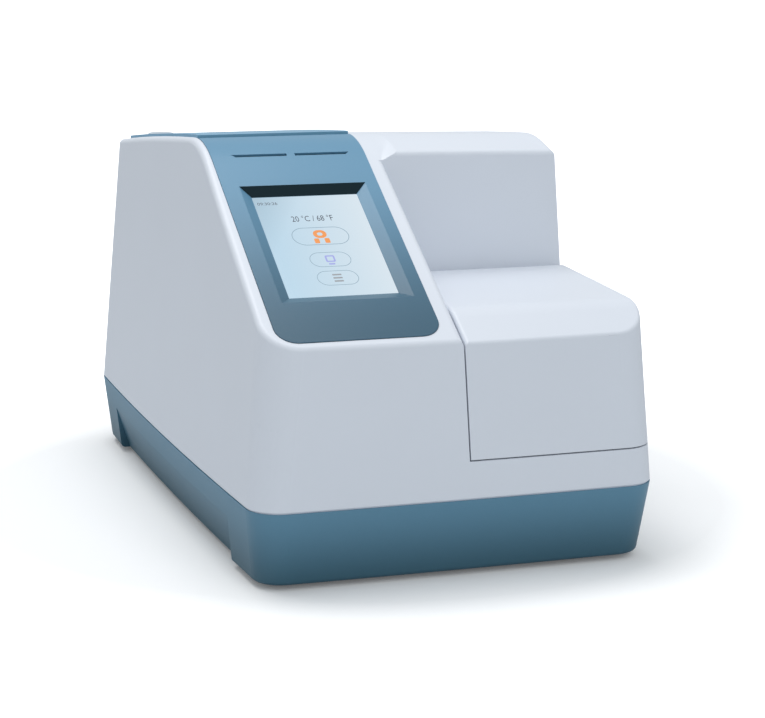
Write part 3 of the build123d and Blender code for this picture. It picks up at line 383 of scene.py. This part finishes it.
# Near-black strip material: painted shade for the recess's upper chamfer.
PAINTED_SHADE_DARK = moulded("dark_strip_painted_shade", (0.0025, 0.016, 0.023), 0.5, specular=0.15)
RUBBER = moulded("black_rubber", (0.018, 0.02, 0.022), 0.8, grain=(1400.0, 0.2))
GREY = moulded("grey_button_plastic", (0.50, 0.56, 0.62), 0.4)
STEEL = metal("zinc_steel", (0.60, 0.61, 0.62), 0.34)
ROD = metal("ground_steel", (0.66, 0.67, 0.68), 0.16, 0.08)
ALUMINIUM = metal("machined_aluminium", (0.72, 0.73, 0.74), 0.3)
BRONZE = metal("turned_bronze", (0.55, 0.36, 0.16), 0.28)
LAMINATED = metal("lacquered_motor_steel", (0.12, 0.125, 0.13), 0.42)
TINNED = metal("tinned_shell", (0.56, 0.57, 0.58), 0.26)
BOARD_GREEN = surfaced("circuit_board", BOARD, {})

dress(WHITE, "upper_housing", "lid_shell")
dress(BLUE, "display_bezel")
dress(COVER_BLUE, "top_cover")
dress(BASE, "base_tray")
dress(BLACK, "display_panel", "button_switch", "rear_port_plate", "barcode_reader")
dress(BLACK, "camera_module", "dc_inlet", "speaker", "board_modules")
dress(LINER, "chamber_liner")
dress(CARRIAGE, "cartridge_carriage")
dress(SMOKED, "status_light_guide")
dress(RUBBER, "crest_gasket", "rubber_feet")
dress(GREY, "power_button")
dress(STEEL, "hinge_bracket_left", "hinge_bracket_right", "base_screws")
dress(STEEL, "chassis_plate", "chassis_posts", "drive_bracket", "optics_bridge")
dress(ROD, "hinge_rod", "guide_rods")
dress(threaded_steel(), "lead_screw")
dress(ALUMINIUM, "heater_block")
dress(BRONZE, "slide_bushes", "drive_nut", "board_standoffs")
dress(LAMINATED, "stepper_motor")
dress(TINNED, "usb_ports", "network_port")
dress(BOARD_GREEN, "main_board", "led_ring")
glass_size = [high - low for low, high in zip(glass_low, glass_high)]
dress(lit_glass(glass_low[0], glass_size[0], glass_low[2], glass_size[2]), "touch_glass")


def glass_axes():
    """Centre of the glass's front face, with its right, up and outward directions."""
    mesh = nodes["touch_glass"].data
    upper = [face for face in mesh.polygons if face.normal.z > 0.5]
    out = max(upper, key=lambda face: face.area).normal.copy()
    reach = max(out.dot(vertex.co) for vertex in mesh.vertices)
    outermost = [vertex.co for vertex in mesh.vertices if out.dot(vertex.co) > reach - 1e-5]
    front = {tuple(round(c, 6) for c in place) for place in outermost}
    centre = sum((Vector(point) for point in front), Vector()) / len(front)
    right = Vector((1, 0, 0))
    return centre, right, out.cross(right), out


GLASS_CENTRE, GLASS_RIGHT, GLASS_UP, GLASS_OUT = glass_axes()
SCREEN_HEIGHT = 71.8 * MM
SCREEN_WIDTH = 51.6 * MM
INK_LIFT = 0.03 * MM
INK_THICKNESS = 0.05 * MM


def on_glass(x, down, lift):
    """Point on the display, from its middle line and down from its top edge."""
    up = SCREEN_HEIGHT / 2 - down
    return GLASS_CENTRE + GLASS_RIGHT * x + GLASS_UP * up + GLASS_OUT * lift


def make_piece(name, mesh, material):
    """Piece that rides the instrument, from a finished mesh, with its material."""
    piece = link_object(name, mesh)
    piece.data.materials.append(material)
    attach(piece, "root")


def thickened(maker, name, rise):
    """Mesh of the maker's faces, drawn out along a vector."""
    bmesh.ops.recalc_face_normals(maker, faces=maker.faces)
    grown = bmesh.ops.extrude_face_region(maker, geom=maker.faces[:])
    lifted = [part for part in grown["geom"] if isinstance(part, bmesh.types.BMVert)]
    bmesh.ops.translate(maker, verts=lifted, vec=rise)
    bmesh.ops.recalc_face_normals(maker, faces=maker.faces)
    mesh = bpy.data.meshes.new(name)
    maker.to_mesh(mesh)
    maker.free()
    return mesh


def ink_mesh(name, shapes):
    """Thin raised marks on the display; each shape is an outline and its hole, or no hole."""
    maker = bmesh.new()
    for outer, inner in shapes:
        base = [maker.verts.new(on_glass(x, down, INK_LIFT)) for x, down in outer]
        if inner:
            hole = [maker.verts.new(on_glass(x, down, INK_LIFT)) for x, down in inner]
            for i in range(len(base)):
                j = (i + 1) % len(base)
                maker.faces.new((base[i], base[j], hole[j], hole[i]))
        else:
            maker.faces.new(base)
    return thickened(maker, name, GLASS_OUT * INK_THICKNESS)


def rounded(x, down, width, height, radius, steps=10):
    """Rounded rectangle about a place on the display, as a list of points."""
    points = []
    corners = ((1, -1, -90), (1, 1, 0), (-1, 1, 90), (-1, -1, 180))
    for side, foot, start in corners:
        middle_x = x + side * (width / 2 - radius)
        middle_down = down + foot * (height / 2 - radius)
        for step in range(steps + 1):
            angle = math.radians(start + 90 * step / steps)
            points.append((middle_x + radius * math.cos(angle), middle_down + radius * math.sin(angle)))
    return points


def outline(x, down, width, height, line):
    """Ring of a rounded button's outline."""
    outer = rounded(x, down, width, height, height / 2 - 0.01 * MM)
    inner = rounded(x, down, width - 2 * line, height - 2 * line, height / 2 - line - 0.01 * MM)
    return outer, inner


def display_text(name, words, x, down, height, width, material):
    """Words on the display, set from a middle point with a height and a width."""
    curve = bpy.data.curves.new(name + "_curve", "FONT")
    curve.body = words
    curve.align_x = "CENTER"
    curve.align_y = "CENTER"
    curve.resolution_u = 3
    holder = link_object(name + "_curve", curve)
    mesh = bpy.data.meshes.new_from_object(holder)
    bpy.data.objects.remove(holder)
    wide = max(v.co.x for v in mesh.vertices) - min(v.co.x for v in mesh.vertices)
    tall = max(v.co.y for v in mesh.vertices) - min(v.co.y for v in mesh.vertices)
    for vertex in mesh.vertices:
        vertex.co = on_glass(x + vertex.co.x * width / wide, down - vertex.co.y * height / tall, INK_LIFT)
    mesh.materials.clear()
    make_piece(name, mesh, material)


# Buttons on the display, in mm: place across, place down, width, height, line
BUTTONS = (
    (0.0, 29.6, 27.4, 12.6, 0.32),
    (0.3, 46.4, 19.6, 10.2, 0.28),
    (0.4, 59.4, 19.6, 10.0, 0.28),
)
CLOCK_PLACE = (-19.4 * MM, 4.9 * MM)
CLOCK_SIZE = (2.0 * MM, 9.6 * MM)
TEMPERATURE_PLACE = (-0.6 * MM, 16.9 * MM)
TEMPERATURE_SIZE = (4.2 * MM, 20.0 * MM)
SAMPLE_DOWN = 28.2 * MM
LEG_DOWN = 33.0 * MM
LEG_ASIDE = 2.5 * MM
VIAL_ACROSS = 0.3 * MM
VIAL_DOWN = 45.9 * MM
VIAL_FOOT_DOWN = 49.6 * MM
LIST_ACROSS = 0.4 * MM
LIST_DOWN = 57.2 * MM
LIST_PITCH = 2.2 * MM


def sample_icon():
    """Ring over two feet."""
    outer = rounded(0, SAMPLE_DOWN, 6.4 * MM, 5.6 * MM, 2.7 * MM)
    inner = rounded(0, SAMPLE_DOWN, 2.6 * MM, 2.4 * MM, 1.1 * MM)
    feet = [rounded(side * LEG_ASIDE, LEG_DOWN, 2.4 * MM, 3.4 * MM, 0.5 * MM) for side in (-1, 1)]
    return [(outer, inner), *((foot, None) for foot in feet)]


def vial_icon():
    """Square ring over a short bar."""
    outer = rounded(VIAL_ACROSS, VIAL_DOWN, 4.6 * MM, 4.6 * MM, 0.8 * MM)
    inner = rounded(VIAL_ACROSS, VIAL_DOWN, 3.0 * MM, 3.0 * MM, 0.3 * MM)
    bar = rounded(VIAL_ACROSS, VIAL_FOOT_DOWN, 3.0 * MM, 1.0 * MM, 0.4 * MM)
    return [(outer, inner), (bar, None)]


def list_icon():
    """Three bars, one over the other."""
    downs = [LIST_DOWN + LIST_PITCH * row for row in range(3)]
    return [(rounded(LIST_ACROSS, down, 4.4 * MM, 1.0 * MM, 0.3 * MM), None) for down in downs]


def display_menu():
    """Generic menu on the display: clock, temperature and three round-ended buttons."""
    grey = display_ink("ink_grey", (0.05, 0.06, 0.09))
    line = display_ink("ink_line", (0.24, 0.36, 0.45))
    orange = display_ink("ink_orange", (0.84, 0.29, 0.06))
    lavender = display_ink("ink_lavender", (0.33, 0.36, 0.74))
    stone = display_ink("ink_stone", (0.30, 0.32, 0.35))
    display_text("display_clock", "09:30:26", *CLOCK_PLACE, *CLOCK_SIZE, grey)
    display_text("display_temperature", "20 °C / 68 °F", *TEMPERATURE_PLACE, *TEMPERATURE_SIZE, grey)
    buttons = [outline(*(size * MM for size in button)) for button in BUTTONS]
    make_piece("display_buttons", ink_mesh("display_buttons", buttons), line)
    make_piece("display_icon_sample", ink_mesh("display_icon_sample", sample_icon()), orange)
    make_piece("display_icon_vial", ink_mesh("display_icon_vial", vial_icon()), lavender)
    make_piece("display_icon_list", ink_mesh("display_icon_list", list_icon()), stone)


RECESS_TOP = 5.3 * MM
RECESS_DEPTH = 2.9 * MM
SHADE_LIFT = 0.04 * MM
SHADE_THICKNESS = 0.12 * MM


def recess_painted_shade():
    """Dark strip on the recess's upper chamfer, over the display: painted shade where the chamfer lies in
    shadow.
    """
    maker = bmesh.new()
    slope = (GLASS_UP * RECESS_TOP + GLASS_OUT * RECESS_DEPTH).normalized()
    out = slope.cross(GLASS_RIGHT)
    out = out if out.dot(GLASS_OUT) > 0 else -out
    reach = RECESS_TOP / slope.dot(GLASS_UP)
    ends = []
    for along, spread in ((0.02, 0.0), (0.5, 0.5), (0.985, 0.985)):
        half = SCREEN_WIDTH / 2 + RECESS_TOP * spread - 0.1 * MM
        foot = GLASS_CENTRE + GLASS_UP * SCREEN_HEIGHT / 2 + slope * reach * along
        ends.append([foot + GLASS_RIGHT * side * half for side in (-1, 1)])
    low = [[maker.verts.new(point + out * SHADE_LIFT) for point in pair] for pair in ends]
    for first, second in zip(low, low[1:]):
        maker.faces.new((first[0], first[1], second[1], second[0]))
    mesh = thickened(maker, "recess_painted_shade", out * SHADE_THICKNESS)
    make_piece("recess_painted_shade", mesh, PAINTED_SHADE_DARK)


FLOOR_HALF = 6.0
GLOW_NEAR = 0.10
GLOW_FAR = 0.9
GLOW_START = 0.19
GLOW_END = 0.34
WORLD_STRENGTH = 0.60


def floor():
    """Pale paper floor that turns to plain white away from the object."""
    mesh = bpy.data.meshes.new("floor")
    corners = [(x * FLOOR_HALF, y * FLOOR_HALF, 0) for x, y in ((-1, -1), (1, -1), (1, 1), (-1, 1))]
    mesh.from_pydata(corners, [], [(0, 1, 2, 3)])
    sheet = link_object("floor", mesh)
    material, tree, shader = new_material("floor_paper")
    path = tree.nodes.new("ShaderNodeLightPath")
    place = tree.nodes.new("ShaderNodeTexCoord")
    away = tree.nodes.new("ShaderNodeVectorMath")
    away.operation = "LENGTH"
    tree.links.new(place.outputs["Object"], away.inputs[0])
    spread = tree.nodes.new("ShaderNodeMapRange")
    spread.inputs["From Min"].default_value = GLOW_START
    spread.inputs["From Max"].default_value = GLOW_END
    spread.inputs["To Min"].default_value = GLOW_NEAR
    spread.inputs["To Max"].default_value = GLOW_FAR
    tree.links.new(away.outputs["Value"], spread.inputs["Value"])
    seen = maths(tree, "MULTIPLY", spread.outputs[0], path.outputs["Is Camera Ray"])
    tree.links.new(seen, shader.inputs["Emission Strength"])
    shader.inputs["Emission Color"].default_value = (1, 1, 1, 1)
    paper = tree.nodes.new("ShaderNodeMix")
    paper.data_type = "RGBA"
    paper.inputs["A"].default_value = (0.60, 0.62, 0.64, 1)
    paper.inputs["B"].default_value = (0.88, 0.88, 0.88, 1)
    tree.links.new(path.outputs["Is Camera Ray"], paper.inputs["Factor"])
    tree.links.new(paper.outputs["Result"], shader.inputs["Base Color"])
    shader.inputs["Roughness"].default_value = 0.9
    sheet.data.materials.append(material)


def surroundings():
    """White as seen by the camera, soft and bluish as light."""
    world = bpy.data.worlds.new("studio_world")
    bpy.context.scene.world = world
    world.use_nodes = True
    tree = world.node_tree
    tree.nodes.clear()
    out = tree.nodes.new("ShaderNodeOutputWorld")
    ambient = tree.nodes.new("ShaderNodeBackground")
    ambient.inputs["Color"].default_value = (0.92, 0.965, 1.0, 1)
    ambient.inputs["Strength"].default_value = WORLD_STRENGTH
    seen = tree.nodes.new("ShaderNodeBackground")
    seen.inputs["Strength"].default_value = 1.0
    path = tree.nodes.new("ShaderNodeLightPath")
    mix = tree.nodes.new("ShaderNodeMixShader")
    tree.links.new(path.outputs["Is Camera Ray"], mix.inputs["Fac"])
    tree.links.new(ambient.outputs[0], mix.inputs[1])
    tree.links.new(seen.outputs[0], mix.inputs[2])
    tree.links.new(mix.outputs[0], out.inputs["Surface"])


def lamp(name, at, size, power, color=(1, 1, 1)):
    """Square softbox that looks at the middle of the object."""
    data = bpy.data.lights.new(name, "AREA")
    data.shape = "SQUARE"
    data.size = size
    data.energy = power
    data.color = color
    thing = link_object(name, data)
    thing.location = at
    thing.rotation_euler = (Vector((0, 0, 0.1)) - Vector(at)).to_track_quat("-Z", "Y").to_euler()


place_camera()
display_menu()
recess_painted_shade()
floor()
surroundings()
lamp("ceiling_softbox", (-0.22, 0.3, 1.6), 1.0, 13.0)
lamp("front_softbox", (0.1, -1.9, 1.1), 1.2, 7.5, (0.95, 0.985, 1.0))

bpy.context.scene.view_settings.view_transform = "Standard"
